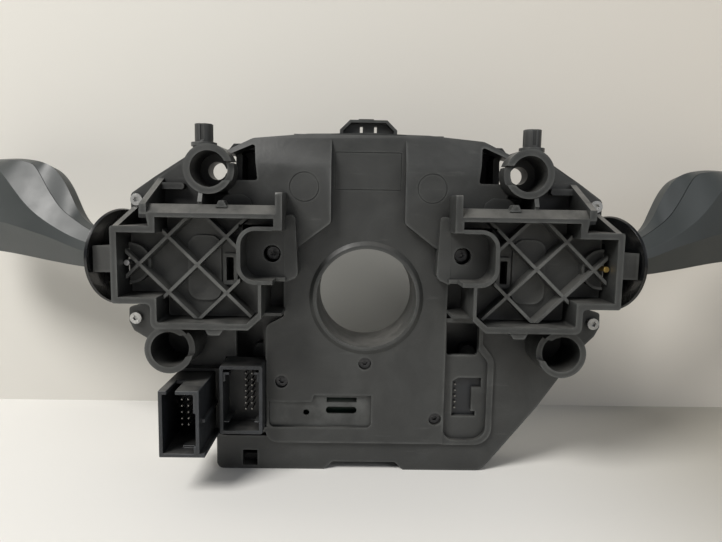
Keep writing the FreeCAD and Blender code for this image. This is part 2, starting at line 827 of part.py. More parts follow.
# Openings for the two board headers and seats for the screws
tall_opening = box(-tall_out - 1, -tall_low - 1, -tall_in + shell_gap, -tall_top + shell_gap)
cut(rear, "tall_opening", [tall_opening], -1, parting + 1)
mid_opening = box(-mid_out - shell_gap, -mid_low - shell_gap, -mid_in + shell_gap, -mid_top + shell_gap)
cut(rear, "mid_opening", [mid_opening], -1, parting + 1)
cut(rear, "cover_seats", [Round(x, z, screw_head + 0.2) for x, z in cover_seats], -1, 3.4)
cut(rear, "cover_holes", [Round(x, z, screw_shank + screw_gap) for x, z in cover_seats], 3, parting + 1)
cut(rear, "module_holes", around(module_screw_across, module_screw_up, 3.4), -cup_rise - 1, -module_seat)
ear_holes = around(screw_up_across, screw_up, screw_shank + screw_gap)
ear_holes = ear_holes + around(screw_low_across, -screw_down, screw_shank + screw_gap)
cut(rear, "ear_holes", ear_holes, 0, parting + 1)
# Window in each side wall that the lever neck comes through
neck_window = [
    (-9.2, pivot_up - 9.4),
    (parting + 1, pivot_up - 9.4),
    (parting + 1, pivot_up + 9.4),
    (-9.2, pivot_up + 9.4),
]
for side, word in ((-1, "left"), (1, "right")):
    low = tray_out - 6 if side > 0 else -tray_out - 2
    cut(rear, "neck_window_" + word, [neck_window], low, low + 8, "YZ_Plane")
rear_housing = rear.finish()


# Moves a place given across and in depth into the turned frame of a lever
def in_lever(across, depth):
    away = size(across) - lever_across
    deeper = size(depth) - lever_depth
    turned_away = away * cosine(lever_angle) + deeper * sine(lever_angle)
    turned_depth = deeper * cosine(lever_angle) - away * sine(lever_angle)
    return turned_away, turned_depth


def lever_body(label, side):
    body = make_body(label)
    base = Vector(lever_across.number * side, lever_depth.number, 0)
    body.Placement = Placement(base, Rotation(Vector(0, 0, side), lever_angle.number))
    body.setExpression("Placement.Base.x", (lever_across * side).text)
    body.setExpression("Placement.Base.y", lever_depth.text)
    body.setExpression("Placement.Rotation.Angle", lever_angle.text)
    return body


# Adds or removes along a lever, between two distances from its base
def along(body, name, shapes, near, far, side, remove=False):
    low = size(near) if side > 0 else -size(far)
    high = size(far) if side > 0 else -size(near)
    work = cut if remove else add
    return work(body, name, shapes, low, high, "YZ_Plane")


def loft(body, name, sections, side, remove=False):
    sketches = []
    for i in range(len(sections)):
        reach, corners = sections[i]
        level = size(reach) * side
        sketches.append(make_sketch(body, name + str(i + 1), "YZ_Plane", [corners], 0, 0, level))
    kind = "PartDesign::SubtractiveLoft" if remove else "PartDesign::AdditiveLoft"
    feature = body.newObject(kind, name)
    feature.Profile = sketches[0]
    feature.Sections = sketches[1:]
    feature.Ruled = True
    return feature


def star(across, up, radius):
    corners = []
    for i in range(12):
        reach = size(radius) * (1.0 if i % 2 == 0 else 0.74)
        angle = math.radians(30 * i)
        corners.append((size(across) + reach * math.cos(angle), size(up) + reach * math.sin(angle)))
    return corners


def screws(label, places, seat, length):
    body = Moulding(label)
    add(body, "shanks", [Round(x, z, screw_shank) for x, z in places], size(seat) - 0.2, size(seat) + length)
    add(body, "heads", [Round(x, z, screw_head) for x, z in places], size(seat) - 1.8, seat)
    cut(body, "recesses", [star(x, z, torx_radius) for x, z in places], size(seat) - 2.8, size(seat) - 0.7)
    return body.finish()


# Front housing: the moulding on the steering wheel side
front = Moulding("front_housing")
right_half = [
    (47, 1.6 - bottom_edge),
    (69.5, -46),
    (82, -28),
    (82, -14.6),
    (size(84), -5),
    (size(84), 34),
    (82.5, 45),
    (71, 46.4),
    (64.5, 43.6),
    (55, 44),
    (54.6, 57),
    (57.4, 60.4),
    (55.6, 62.6),
    (44, 62.8),
    (24, top_edge - 2.4),
]
left_half = [
    (-24, top_edge - 2.4),
    (-44, 62.8),
    (-55.6, 62.6),
    (-57.4, 60.4),
    (-54.6, 57),
    (-55, 44),
    (-64.5, 43.6),
    (-71, 46.4),
    (-82.5, 45),
    (-84, 34),
    (-84, -5),
    (-82, -14.6),
    (-82, -28),
    (-tall_out + 1.4, -30),
    (-tall_out + 1.4, 1.4 - tall_low),
    (1.4 - bottom_left, 1.4 - tall_low),
    (1.4 - bottom_left, 1.6 - bottom_edge),
]
add(front, "block", [right_half + left_half], parting, front_face)
ear_arm_up = [(80, 36), (screw_up_across + 1, 36), (screw_up_across + 1, 42.4), (80, 41.6)]
ear_arm_low = [(80, -15), (screw_low_across, -screw_down - 3.4), (screw_low_across, -screw_down + 3.4), (80, -6.6)]
add(front, "ear_arms_up", both(ear_arm_up), parting, parting + 4)
add(front, "ear_arms_low", both(ear_arm_low), parting, parting + 4)
bosses = around(screw_up_across, screw_up, 3.3) + around(screw_low_across, -screw_down, 3.3)
add(front, "ear_bosses", bosses, parting, parting + 6)
right_hollow = [
    (45.5, 4.2 - bottom_edge),
    (67, -45),
    (79.4, -27),
    (79.4, -14),
    (81.4, -5),
    (81.4, 33),
    (80.2, 42.6),
    (71, 43.8),
    (65, 41),
    (52.4, 41.4),
    (52, 57.6),
    (53.6, 60),
    (43, 60.4),
    (24, top_edge - 5),
]
left_hollow = [
    (-24, top_edge - 5),
    (-43, 60.4),
    (-53.6, 60),
    (-52, 57.6),
    (-52.4, 41.4),
    (-65, 41),
    (-71, 43.8),
    (-80.2, 42.6),
    (-81.4, 33),
    (-81.4, -5),
    (-79.4, -14),
    (-79.4, -27),
    (-tall_out + 3.8, -31.6),
    (-tall_out + 3.8, 3.8 - tall_low),
    (3.8 - bottom_left, 3.8 - tall_low),
    (3.8 - bottom_left, 4.2 - bottom_edge),
]
cut(front, "hollow", [right_hollow + left_hollow], parting - 1, front_face - front_wall)
cover_places = [Round(-0.2, -30, 4.2)] + [Round(x, z, 3.4) for x, z in cover_seats if z < -30]
add(front, "cover_columns", cover_places, board_rear + board_wall, front_face - 0.5)
case_seats = [(0, 52.4), (-45.4, -26.2), (45.4, -26.2)]
add(front, "case_columns", [Round(x, z, 3.6) for x, z in case_seats], front_face - 10, front_face - 0.5)
cut(front, "hub_hole", [Round(0, 0, bore_radius + sleeve_wall + hub_gap + hub_wall + 2.4)], 12.2, front_face + 1)
cut(front, "cam_sweep", [Round(0, 0, cam_radius + 0.6)], 14.4, 15 + cam_width + 0.6)
cut(front, "case_openings", both(box(80, 1.2, 86, 28.6)), parting - 1, module_front + 0.4)
cut(front, "screw_holes", [Round(x, z, screw_shank + screw_gap) for x, z in cover_seats], parting - 1, 20)
cut(front, "case_holes", [Round(x, z, screw_shank + screw_gap) for x, z in case_seats], 15, front_face + 1)
cut(front, "ear_holes", ear_holes, parting - 1, parting + 7)
cut(front, "pin_bores", around(pivot_across, pivot_up, 3), 9, front_face + 1)
front_housing = front.finish()

# Circuit board with its parts and the headers that stand on it
board = Moulding("circuit_board")
board_outline = [
    (-tall_out + 1.6, 1.4 - tall_low),
    (-tall_in + 0.1, 1.4 - tall_low),
    (-tall_in + 0.1, -55),
    (-43.2, -55),
    (-38.6, -59),
    (52, -59),
    (52, -27),
    (-38.6, -27),
    (-38.6, -33.6),
    (-tall_out + 1.6, -33.6),
]
add(board, "sheet", [board_outline], board_rear, board_rear + board_wall)
cut(board, "holes", [Round(x, z, screw_shank + 0.4) for x, z in cover_seats], board_rear - 1, board_rear + board_wall + 1)
circuit_board = board.finish()
board_front = board_rear + board_wall
chips = Moulding("board_components")
add(chips, "controller", [box(-26, -52, -12, -38)], board_front, board_front + 1.6)
add(chips, "drivers", [box(-4, -50, 4, -44), box(-4, -40, 4, -35), box(-58, -53, -52, -48)], board_front, board_front + 1.8)
add(chips, "relay", [box(12, -46, 24, -36)], board_front, board_front + 6)
add(chips, "capacitors", [Round(46, -35, 3), Round(46, -51, 3), Round(-66, -50.6, 2)], board_front, board_front + 7)
board_components = chips.finish()

tall = Moulding("power_connector")
add(tall, "shell", [box(-tall_out, -tall_low, -tall_in, -tall_top)], -tall_rise, board_rear)
cut(tall, "socket", [box(-tall_out + shell_wall, -tall_low + shell_wall, -tall_in - 2.2, -tall_top - shell_wall)], -tall_rise - 1, 4)
cut(tall, "key_slot", [box(-74.8, -tall_top - 2, -71.6, -tall_top + 1)], -tall_rise - 1, -tall_rise + 14)
cut(tall, "side_latch", [box(-tall_in - 3, -53.4, -tall_in - 1.4, -40.6)], -tall_rise - 1, -tall_rise + 8)
add(tall, "inner_ledge", [box(-70.6, -tall_low + 1, -66, -tall_low + 2.4)], -tall_rise + 6, -tall_rise + 9)
add(tall, "side_rib", [box(-tall_in - 0.5, -45.6, -tall_in + 1.2, -44)], -tall_rise + 4, -0.3)
add(tall, "low_rib", [box(-tall_in - 0.5, -tall_low, -tall_in + 2, -tall_low + 1.5)], -tall_rise, -0.3)
power_connector = tall.finish()

mid = Moulding("data_connector")
add(mid, "shell", [box(-mid_out, -mid_low, -mid_in, -mid_top, 1)], -mid_rise, board_rear)
cut(mid, "socket", [box(-mid_out + shell_wall, -mid_low + shell_wall, -mid_in - shell_wall, -mid_top - shell_wall)], -mid_rise - 1, 4)
key = [(-mid_out + 1, -33.4), (-56.6, -33.4), (-56.6, -30.6), (-55, -30.6), (-55, -29.6), (-mid_out + 1, -29.6)]
add(mid, "key_left", [key], -mid_rise + 0.6, 4.2)
key = [(-mid_in - 1, -33.4), (-43.8, -33.4), (-43.8, -30.6), (-45, -30.6), (-45, -29.6), (-mid_in - 1, -29.6)]
add(mid, "key_right", [key], -mid_rise + 0.6, 4.2)
add(mid, "stops", [box(-mid_out + 1, -50.6, -55.2, -50.1), box(-45, -50.6, -mid_in - 1, -50.1)], -mid_rise + 1, 4.2)
data_connector = mid.finish()

small = Moulding("service_connector")
add(small, "base", [box(36.4, -51.4, 50.2, -33)], board_rear - 1.3, board_rear)
service_connector = small.finish()


def pins(label, places, start, stop, step, axis, number):
    body = make_body(label)
    half = pin_side / 2
    row = [box(x - half, z - half, x + half, z + half) for x, z in places]
    pin = add(body, label + "_first", row, start, stop)
    repeat(body, label, pin, step, axis, number)
    return body


# Switch modules: ribbed panel, case behind it, pivot and lever on each side
def panel_outline(inset):
    return [
        (tray_out - tray_wall - inset, tray_top - tray_wall - inset),
        (tray_out - tray_wall - inset, tray_low + tray_wall + inset),
        (tray_step - tray_wall - inset, tray_low + tray_wall + inset),
        (tray_step - tray_wall - inset, -tray_bottom + tray_wall + inset, 1),
        (tray_inner + 4.4 + inset, -tray_bottom + tray_wall + inset),
        (tray_inner + inset, -tray_bottom + 6.4 + inset),
        (tray_inner + inset, cup_low - inset),
        (cup_out, cup_low - inset),
        (cup_out + inset, cup_low + 6),
        (cup_out + inset, cup_top + inset),
        (post_in + post_wall + 0.6 + inset, cup_top + inset),
        (post_in + post_wall + 0.6 + inset, ledge_low - inset),
        (tray_step - tray_wall - inset, ledge_low - inset),
        (tray_step - tray_wall - inset, tray_top - tray_wall - inset),
    ]


for side, word in ((-1, "wiper"), (1, "turn")):
    inset = panel_gap
    panel = panel_outline(panel_gap)
    cup_corner = box(cup_out - 8, cup_low - inset, cup_out + inset, cup_top + inset, cup_round + inset)
    base = Moulding(word + "_module_base")
    half = rib_wall * 0.71
    for slope, name in ((1, "rising"), (-1, "falling")):
        strips = []
        for step in (-1, 0, 1):
            middle = 65.6 + 22.3 * step
            strip = [
                (middle - 24 * slope - half, -8.9),
                (middle - 24 * slope + half, -8.9),
                (middle + 19.4 * slope + half, 33.3),
                (middle + 19.4 * slope - half, 33.3),
            ]
            strips.append(mirrored(strip, side))
        add(base, name + "_ribs", strips, -rib_rise, -floor_rise + 0.5)
    add(base, "pivot_ring", [Round(92.6 * side, pivot_up - 0.6, 8)], -floor_rise - 3.4, -floor_rise + 0.5)
    cut(base, "pivot_dish", [Round(92.6 * side, pivot_up - 0.6, 7)], -floor_rise - 4, -floor_rise - 2.6)
    base.close_stage()
    limit = extrude(word + "_module_reach", "XZ_Plane", [mirrored(panel_outline(panel_gap + 0.25), side)], size(-30), size(10))
    common = doc.addObject("Part::Common", word + "_module_ribs")
    common.Base = base.shape
    common.Tool = limit
    common.Refine = False
    base.shape = common
    add(base, "floor", [mirrored(panel, side)], -floor_rise, -floor_rise + floor_wall)
    add(base, "pad", [mirrored(box(57.6, -0.1, 70.7, 25.5, 4.5), side)], -floor_rise - 1.1, -floor_rise + 0.5)
    add(base, "slot_boss", [mirrored(box(51.2, 6.2, 56.9, 18.5, 0.8), side)], -floor_rise - 1.4, -floor_rise + 0.5)
    cut(base, "slot", [mirrored(box(52.7, 7.7, 55.6, 17, 0.4), side)], -floor_rise - 2, 0)
    cut(base, "pin_hole", [Round(pivot_across * side, pivot_up, pivot_pin)], -rib_rise - 1, 0)
    notch = box(pivot_across, pivot_up - pivot_pin, tray_out, pivot_up + pivot_pin)
    cut(base, "pin_notch", [mirrored(notch, side)], -rib_rise - 1, 0)
    cut(base, "cup_clearance", [mirrored(cup_corner, side)], -rib_rise - 1, 0)
    base.finish()

    # Case of the switch with its lug, detent and pivot bore
    case = Moulding(word + "_module_case")
    case_rear = -floor_rise + floor_wall
    add(case, "block", [mirrored(panel, side)], case_rear, module_front)
    wall = module_wall + inset
    inner = [
        (tray_step - tray_wall - wall, -tray_bottom + tray_wall + wall),
        (tray_inner + 5 + wall, -tray_bottom + tray_wall + wall),
        (tray_inner + wall, -tray_bottom + 7 + wall),
        (tray_inner + wall, cup_low - wall),
        (cup_out + wall, cup_low - wall),
        (cup_out + wall, ledge_low - wall),
        (tray_step - tray_wall - wall, ledge_low - wall),
        (tray_step - tray_wall - wall, tray_top - tray_wall - wall),
        (tray_out + 1, tray_top - tray_wall - wall),
        (tray_out + 1, tray_low + tray_wall + wall),
        (tray_step - tray_wall - wall, tray_low + tray_wall + wall),
    ]
    cut(case, "inside", [mirrored(inner, side)], case_rear - 1, module_front - 2)
    cut(case, "cup_clearance", [mirrored(cup_corner, side)], case_rear - 1, parting + 1.2)
    add(case, "lug", [mirrored(box(post_in + 3, 10, cup_out + 1, 27.6), side)], parting + 1.4, module_front)
    add(case, "column", [Round(module_screw_across * side, module_screw_up, 3.1)], -module_seat, module_front)
    add(case, "detent", [mirrored([(74.4, 7), (78.4, 7), (78.4, 23), (74.4, 23)], side)], case_rear + 0.6, module_front - 1)
    if side > 0:
        rails = [box(42.4, 2.8, 52, 4.4), box(42.4, -4.4, 52, -2.8)]
        add(case, "pawl_rails", rails, module_front - 0.5, 18.4)
    cut(case, "screw_hole", [Round(module_screw_across * side, module_screw_up, screw_shank + screw_gap)], -4, module_front + 1)
    cut(case, "pivot_bore", [Round(pivot_across * side, pivot_up, 2.5 + run_gap)], 9, module_front + 1)
    case.finish()

    # Pin that the lever tilts on, seen from the rear inside the tray
    pin = make_body(word + "_pivot_pin")
    add(pin, word + "_pin", [Round(pivot_across * side, pivot_up, pivot_pin)], -15.4, -1.6)
    rocker = Moulding(word + "_rocker")
    add(rocker, "drum", [Round(pivot_across * side, pivot_up, rocker_radius)], -4.2, 8.2)
    add(rocker, "trunnion", [Round(pivot_across * side, pivot_up, 2.5)], 8, module_front - 0.2)
    slot = box(80, pivot_up - 3.3, 104, pivot_up + 3.3)
    cut(rocker, "tongue_slot", [mirrored(slot, side)], -2.4, 7.4)
    cut(rocker, "pin_bore", [Round(pivot_across * side, pivot_up, pivot_pin + run_gap)], -6, -1)
    cut(rocker, "hinge_hole", [Round(pivot_across * side, hinge_depth, hinge_pin)], pivot_up - 9, pivot_up + 9, "XY_Plane")
    rocker.finish()
    hinge = make_body(word + "_hinge_pin")
    add(hinge, word + "_hinge", [Round(pivot_across * side, hinge_depth, hinge_pin)], pivot_up - 4.8, pivot_up + 4.8, "XY_Plane")
    plunger = make_body(word + "_detent_plunger")
    low = size(78.8) if side > 0 else size(-88.4)
    add(plunger, word + "_plunger", [Round(hinge_depth, pivot_up, 1.5)], low, low + 9.6, "YZ_Plane")

    # Lever core: tongue, neck block and stem in one piece
    core = lever_body(word + "_lever_core", side)
    block = [in_lever(98.7, -8), in_lever(108.2, -8), in_lever(99.6, 9), in_lever(98.7, 9)]
    add(core, word + "_neck", [mirrored(block, side)], neck_low, neck_top, "XY_Plane")
    tongue = [in_lever(84, -1), in_lever(99.4, -1), in_lever(99.4, 6), in_lever(84, 6)]
    add(core, word + "_tongue", [mirrored(tongue, side)], pivot_up - 3, pivot_up + 3, "XY_Plane")
    along(core, word + "_stem", [Round(0, disc_up, stem_radius)], -1, grip_start + 4, side)
    along(core, word + "_bar", [box(-2.2, disc_up - 2.2, 2.2, disc_up + 2.4)], grip_start + 3, 28, side)
    hinge_place = in_lever(pivot_across, hinge_depth)
    hole = Round(hinge_place[0] * side, hinge_place[1], hinge_pin + run_gap)
    cut(core, word + "_hinge_bore", [hole], pivot_up - 9, pivot_up + 9, "XY_Plane")
    bore = [in_lever(83, hinge_depth - 1.6), in_lever(90, hinge_depth - 1.6), in_lever(90, hinge_depth + 1.6), in_lever(83, hinge_depth + 1.6)]
    cut(core, word + "_plunger_bore", [mirrored(bore, side)], pivot_up - 1.6, pivot_up + 1.6, "XY_Plane")

    disc = lever_body(word + "_dust_disc", side)
    dome = [
        (0, disc_radius),
        (disc_bulge, disc_radius - 8.6, 24),
        (disc_bulge, stem_radius),
        (disc_bulge - disc_wall, stem_radius),
        (disc_bulge - disc_wall, disc_radius - 8.9, 22),
        (-1, disc_radius - 0.6),
    ]
    sketch = make_sketch(disc, word + "_dome", "XY_Plane", [mirrored(dome, side)], 0, 0, disc_up)
    feature = disc.newObject("PartDesign::Revolution", word + "_dome")
    feature.Profile = sketch
    feature.ReferenceAxis = (sketch, ["H_Axis"])
    feature.Angle = 360

    # Grip halves, faceted between sections along the lever
    rear_grip = lever_body(word + "_grip_rear", side)
    front_grip = lever_body(word + "_grip_front", side)
    rear_sections = []
    front_sections = []
    rear_inside = []
    front_inside = []

    def station(reach, low, crease, edge, seam, top, back, front_side):
        back = size(back)
        rear_sections.append((reach, [(0, low), (-back * 0.55, low + 0.7), (-back, crease), (0.7 - back, edge), (-2.5, seam)]))
        front_sections.append((reach, [
            (0, low),
            (front_side * 0.65, low + 1.4),
            (front_side, low + 8),
            (front_side, top - 7),
            (front_side * 0.7, top - 2),
            (0.8, top),
            (-2.5, seam),
        ]))
        inner = grip_wall
        rear_inside.append((reach, [
            (0.5, low + 2.6),
            (-back * 0.55 + 1.3, low + 2.8),
            (inner - back, crease + 0.2),
            (inner - back + 0.7, edge - 1),
            (0.5, seam - 3.2),
        ]))
        front_inside.append((reach, [
            (-0.6, low + 2.6),
            (front_side * 0.5, low + 3.4),
            (front_side - inner, low + 8.4),
            (front_side - inner, top - 7.6),
            (front_side * 0.5, top - 4.4),
            (1.8, top - 3.4),
            (-2.8, seam - 3),
        ]))

    station(grip_start, 9.2, 16.6, 20.2, 24.6, 25.6, 6.0, 5.4)
    station(19, 9.5, 17.8, 21.8, 26.7, 27.8, 7.0, 6.2)
    station(27, 10.0, 20.2, 24.6, 30.8, 32.2, 7.8, 7.0)
    station(34, 10.7, 22.4, 27.8, 34.3, 46.0, 8.6, 7.6)
    station(42, 11.4, 24.2, 32.0, 43.2, 53.0, 9.4, 8.2)
    station(49, 12.2, 25.8, 37.2, 54.2, 55.2, 10.0, 8.6)
    station(60, 13.2, 28.0, 48.6, 55.8, 56.6, 10.4, 8.8)
    station(66, 13.6, 28.4, 53.6, 56.0, 56.8, 10.5, 8.9)
    station(96, 15.2, 29.2, 53.2, 55.6, 56.4, 10.2, 8.8)
    station(grip_end, 19.0, 30.5, 46.6, 49.8, 50.8, 8.6, 7.4)
    loft(rear_grip, word + "_rear_facets", rear_sections, side)
    loft(front_grip, word + "_front_facets", front_sections, side)
    rear_inside[0] = (grip_start + 3, rear_inside[0][1])
    front_inside[0] = (grip_start + 3, front_inside[0][1])
    rear_inside[-1] = (grip_end - 3.2, rear_inside[-1][1])
    front_inside[-1] = (grip_end - 3.2, front_inside[-1][1])
    loft(rear_grip, word + "_rear_hollow", rear_inside, side, True)
    loft(front_grip, word + "_front_hollow", front_inside, side, True)
    for grip, part in ((rear_grip, "rear"), (front_grip, "front")):
        along(grip, word + "_" + part + "_root_hole", [Round(0, disc_up, stem_radius)], grip_start - 1, grip_start + 5, side, True)
        opening = box(-3.9, 30.6, 3.9, 42.4, 1)
        along(grip, word + "_" + part + "_tip_opening", [opening], grip_end - 5, grip_end + 1, side, True)
        if side < 0:
            wheel_room = Round(0, wheel_up, wheel_radius + 0.5)
            along(grip, word + "_" + part + "_wheel_room", [wheel_room], wheel_start - 0.8, wheel_start + wheel_width + 0.8, side, True)
    button = make_body(word + "_tip_button") if False else lever_body(word + "_tip_button", side)
    along(button, word + "_button", [box(-3.5, 31, 3.5, 42, 1)], grip_end - 5, grip_end + 2.4, side)
    along(button, word + "_button_flange", [box(-4.6, 29.6, 4.6, 43.4, 1)], grip_end - 5, grip_end - 3.5, side)

# Thumbwheel in the wiper lever and rocker key on the turn lever
bulkheads = doc.getObject("wiper_grip_rear")
for near, part in ((wheel_start - 4.6, "inner"), (wheel_start + wheel_width + 2, "outer")):
    along(bulkheads, "bulkhead_" + part, [box(-9.2, 33.6, 2.8, 43.6)], near, near + 2.4, -1)
    along(bulkheads, "bulkhead_hole_" + part, [Round(0, wheel_up, 1.5)], near - 1, near + 3.4, -1, True)
axle = lever_body("wiper_wheel_axle", -1)
along(axle, "axle", [Round(0, wheel_up, 1.5)], wheel_start - 4.6, wheel_start + wheel_width + 4.4, -1)
wheel = lever_body("wiper_thumbwheel", -1)
along(wheel, "wheel", [Round(0, wheel_up, wheel_radius), Round(0, wheel_up, 1.5 + run_gap)], wheel_start, wheel_start + wheel_width, -1)
notch = [
    (wheel_radius - 0.7, wheel_up - 0.45),
    (wheel_radius + 1, wheel_up - 0.45),
    (wheel_radius + 1, wheel_up + 0.45),
    (wheel_radius - 0.7, wheel_up + 0.45),
]
groove = along(wheel, "wheel_notch", [notch], wheel_start + 1.2, wheel_start + wheel_width - 1.2, -1, True)

key_place = size(92)
key_axis = size(49.8)
rocker_key = lever_body("turn_menu_rocker", 1)
key = [
    (key_place - 9, 57.4, 0.8),
    (key_place - 9, 53.6),
    (key_place + 9, 53.6),
    (key_place + 9, 57.4, 0.8),
    (key_place, 56.9),
]
add(rocker_key, "rocker_key", [key], -3.4, 3.4)
ears = [(key_place - 2.6, 54), (key_place - 2.6, key_axis - 2.4, 2.2), (key_place + 2.6, key_axis - 2.4, 2.2), (key_place + 2.6, 54)]
add(rocker_key, "rocker_ears", [ears], -3.4, 3.4)
cut(rocker_key, "rocker_axis", [Round(key_place, key_axis, 1 + run_gap)], -5, 5)
room = [(key_place - 10.2, 60), (key_place - 10.2, 50.6), (key_place + 10.2, 50.6), (key_place + 10.2, 60)]
well = [(key_place - 3.2, 52), (key_place - 3.2, 46.4), (key_place + 3.2, 46.4), (key_place + 3.2, 52)]
rib = [(key_place - 3, key_axis - 2.6), (key_place + 3, key_axis - 2.6), (key_place + 3, 52), (key_place - 3, 52)]
for name, near, far in (("turn_grip_rear", -8.2, -4.2), ("turn_grip_front", 4.2, 7)):
    grip = doc.getObject(name)
    add(grip, name + "_rocker_rib", [rib], near, far)
    cut(grip, name + "_rocker_room", [room], -3.9, 3.9)
    cut(grip, name + "_rocker_well", [well], -3.9, 3.9)
    cut(grip, name + "_rocker_pin_hole", [Round(key_place, key_axis, 1)], -6.6, 6.1)
rocker_pin = lever_body("turn_rocker_pin", 1)
add(rocker_pin, "rocker_pin", [Round(key_place, key_axis, 1)], -6.6, 6.1)

# Screws, posts and the latch that holds the column trim
corner_places = [(-screw_up_across, screw_up), (screw_up_across, screw_up)]
corner_places = corner_places + [(-screw_low_across, -screw_down), (screw_low_across, -screw_down)]
screws("corner_screws", corner_places, flange_rear, 8.4)
module_places = [(-module_screw_across, module_screw_up), (module_screw_across, module_screw_up)]
screws("module_screws", module_places, -module_seat, 16)
screws("cover_screws", cover_seats, 3.4, 9)

posts = Moulding("locating_posts")
post_base = tube_up + 10.1
add(posts, "collars", around(67.4, 6.5, 5.2), post_base, post_base + 1.6, "XY_Plane")
add(posts, "posts", around(67.4, 6.5, 3.7), post_base + 1.5, post_base + 9, "XY_Plane")
grooves = []
for across, depth in ((0, 3.9), (0, -3.9), (3.9, 0), (-3.9, 0)):
    grooves = grooves + both(box(67.4 + across - 0.7, 6.5 + depth - 0.7, 67.4 + across + 0.7, 6.5 + depth + 0.7))
cut(posts, "grooves", grooves, post_base + 2.4, post_base + 10, "XY_Plane")
posts.finish()

latch = Moulding("trim_latch")
latch_top = top_edge + 5.9
frame = [
    (-12, top_edge - 2.4),
    (12, top_edge - 2.4),
    (12, top_edge + 1.8),
    (7.8, latch_top),
    (-7.8, latch_top),
    (-12, top_edge + 1.8),
]
add(latch, "frame", [frame], 11, 17)
add(latch, "tab", [box(-4.2, latch_top - 0.5, 2.2, latch_top + 0.5)], 12, 16)
dish = [(-10.6, top_edge - 1), (10.6, top_edge - 1), (10.6, top_edge + 1.4), (7.2, latch_top - 1.2), (-7.2, latch_top - 1.2), (-10.6, top_edge + 1.4)]
cut(latch, "dish", [dish], 10, 13.4)
gaps = [box(-3.6, top_edge, -2.4, top_edge + 3.6), box(2.4, top_edge, 3.6, top_edge + 3.6)]
cut(latch, "gaps", gaps, 10, 18)
latch.finish()

pin_end = board_front + 1.2
pins("power_pins", [(-71.7, -35.6), (-71.7 + pin_pitch, -35.6)], -17, pin_end, -pin_pitch, "V_Axis", 6)
pins("data_pins", [(-49.3, -31.4), (-49.3 + pin_pitch, -31.4)], -3, pin_end, -pin_pitch, "V_Axis", 7)
pins("service_pins", [(38.6, -37)], 3.2, pin_end, -pin_pitch, "V_Axis", 5)

# Clock spring: fixed case with the coiled ribbon, and the rotor that turns with the wheel
spring_case = Moulding("spring_case")
hub_inner = bore_radius + sleeve_wall + hub_gap
hub_outer = hub_inner + hub_wall
case_front = front_face + case_depth - 1.8
cup_profile = [
    (hub_outer + 1.4, front_face),
    (case_radius, front_face),
    (case_radius, case_front),
    (case_radius - case_wall, case_front),
    (case_radius - case_wall, front_face + 1.6),
    (hub_outer + 1.4, front_face + 1.6),
]
turn(spring_case, "cup", cup_profile, 0, 0)
add(spring_case, "tabs", [Round(x, z, 3.8) for x, z in case_seats], front_face, front_face + 2.4)
cut(spring_case, "tab_holes", [Round(x, z, screw_shank + screw_gap) for x, z in case_seats], front_face - 1, front_face + 3)
inside = [(0.5, front_face + 1.6), (case_radius - case_wall, front_face + 1.6), (case_radius - case_wall, front_face + 4), (0.5, front_face + 4)]
turn(spring_case, "inside_clear", inside, 0, 0, True)
spring_case.finish()

case_screws = Moulding("case_screws")
seat = front_face + 2.4
add(case_screws, "shanks", [Round(x, z, screw_shank) for x, z in case_seats], seat - 8, seat + 0.2)
add(case_screws, "heads", [Round(x, z, screw_head) for x, z in case_seats], seat, seat + 1.8)
cut(case_screws, "recesses", [star(x, z, torx_radius) for x, z in case_seats], seat + 0.7, seat + 2.4)
case_screws.finish()


def spiral(start_radius, end_radius, turns_made, low, width, strip):
    inner = []
    outer = []
    steps = int(24 * turns_made)
    for i in range(steps + 1):
        share = i / steps
        angle = 2 * math.pi * turns_made * share
        radius = start_radius + (end_radius - start_radius) * share
        inner.append(Vector(radius * math.cos(angle), low, radius * math.sin(angle)))
        outer.append(Vector((radius + strip) * math.cos(angle), low, (radius + strip) * math.sin(angle)))
    first = Part.BSplineCurve()
    first.interpolate(inner)
    second = Part.BSplineCurve()
    second.interpolate(outer)
    ends = [Part.makeLine(inner[0], outer[0]), Part.makeLine(inner[-1], outer[-1])]
    wire = Part.Wire(Part.__sortEdges__([first.toShape(), second.toShape()] + ends))
    return Part.Face(wire).extrude(Vector(0, width, 0))


ribbon = doc.addObject("Part::Feature", "ribbon_cable")
ribbon.Label = "ribbon_cable"
ribbon_start = hub_outer.number + 3.4
ribbon_end = case_radius.number - case_wall.number - spring_strip.number
ribbon.Shape = spiral(ribbon_start, ribbon_end, int(spring_turns.number), front_face.number + 1.6, spring_width.number, spring_strip.number)
pieces.append(ribbon)

rotor_rear = front_face + case_depth - 1.8 + case_gap
rotor_front = rotor_rear + rotor_wall
hub = Moulding("rotor_hub")
hub_profile = [
    (hub_inner, 12.5),
    (hub_outer, 12.5),
    (hub_outer, rotor_rear),
    (hub_inner, rotor_rear),
]
turn(hub, "sleeve", hub_profile, 0, 0)
hub.finish()
plate = Moulding("rotor_plate")
plate_profile = [
    (hub_inner, rotor_rear),
    (rotor_radius, rotor_rear),
    (rotor_radius, rotor_front - 0.8),
    (rotor_radius - 0.8, rotor_front),
    (hub_inner, rotor_front),
]
turn(plate, "disc", plate_profile, 0, 0)
add(plate, "collar", [Round(0, 0, hub_inner + 3), Round(0, 0, hub_inner)], rotor_front - 0.5, rotor_front + 3)
add(plate, "drive_lugs", [Round(-34, 0, 3.6), Round(34, 0, 3.6)], rotor_front - 0.5, rotor_front + 7)
cut(plate, "lug_holes", [Round(-34, 0, 1.8), Round(34, 0, 1.8)], rotor_front + 1, rotor_front + 8)
plate.finish()
cam = Moulding("cancel_cam")
lobe = [(-11, 22), (11, 22), (12.4, 26.4, 1.5), (6, cam_radius - 0.4, 8), (-6, cam_radius - 0.4, 8), (-12.4, 26.4, 1.5)]
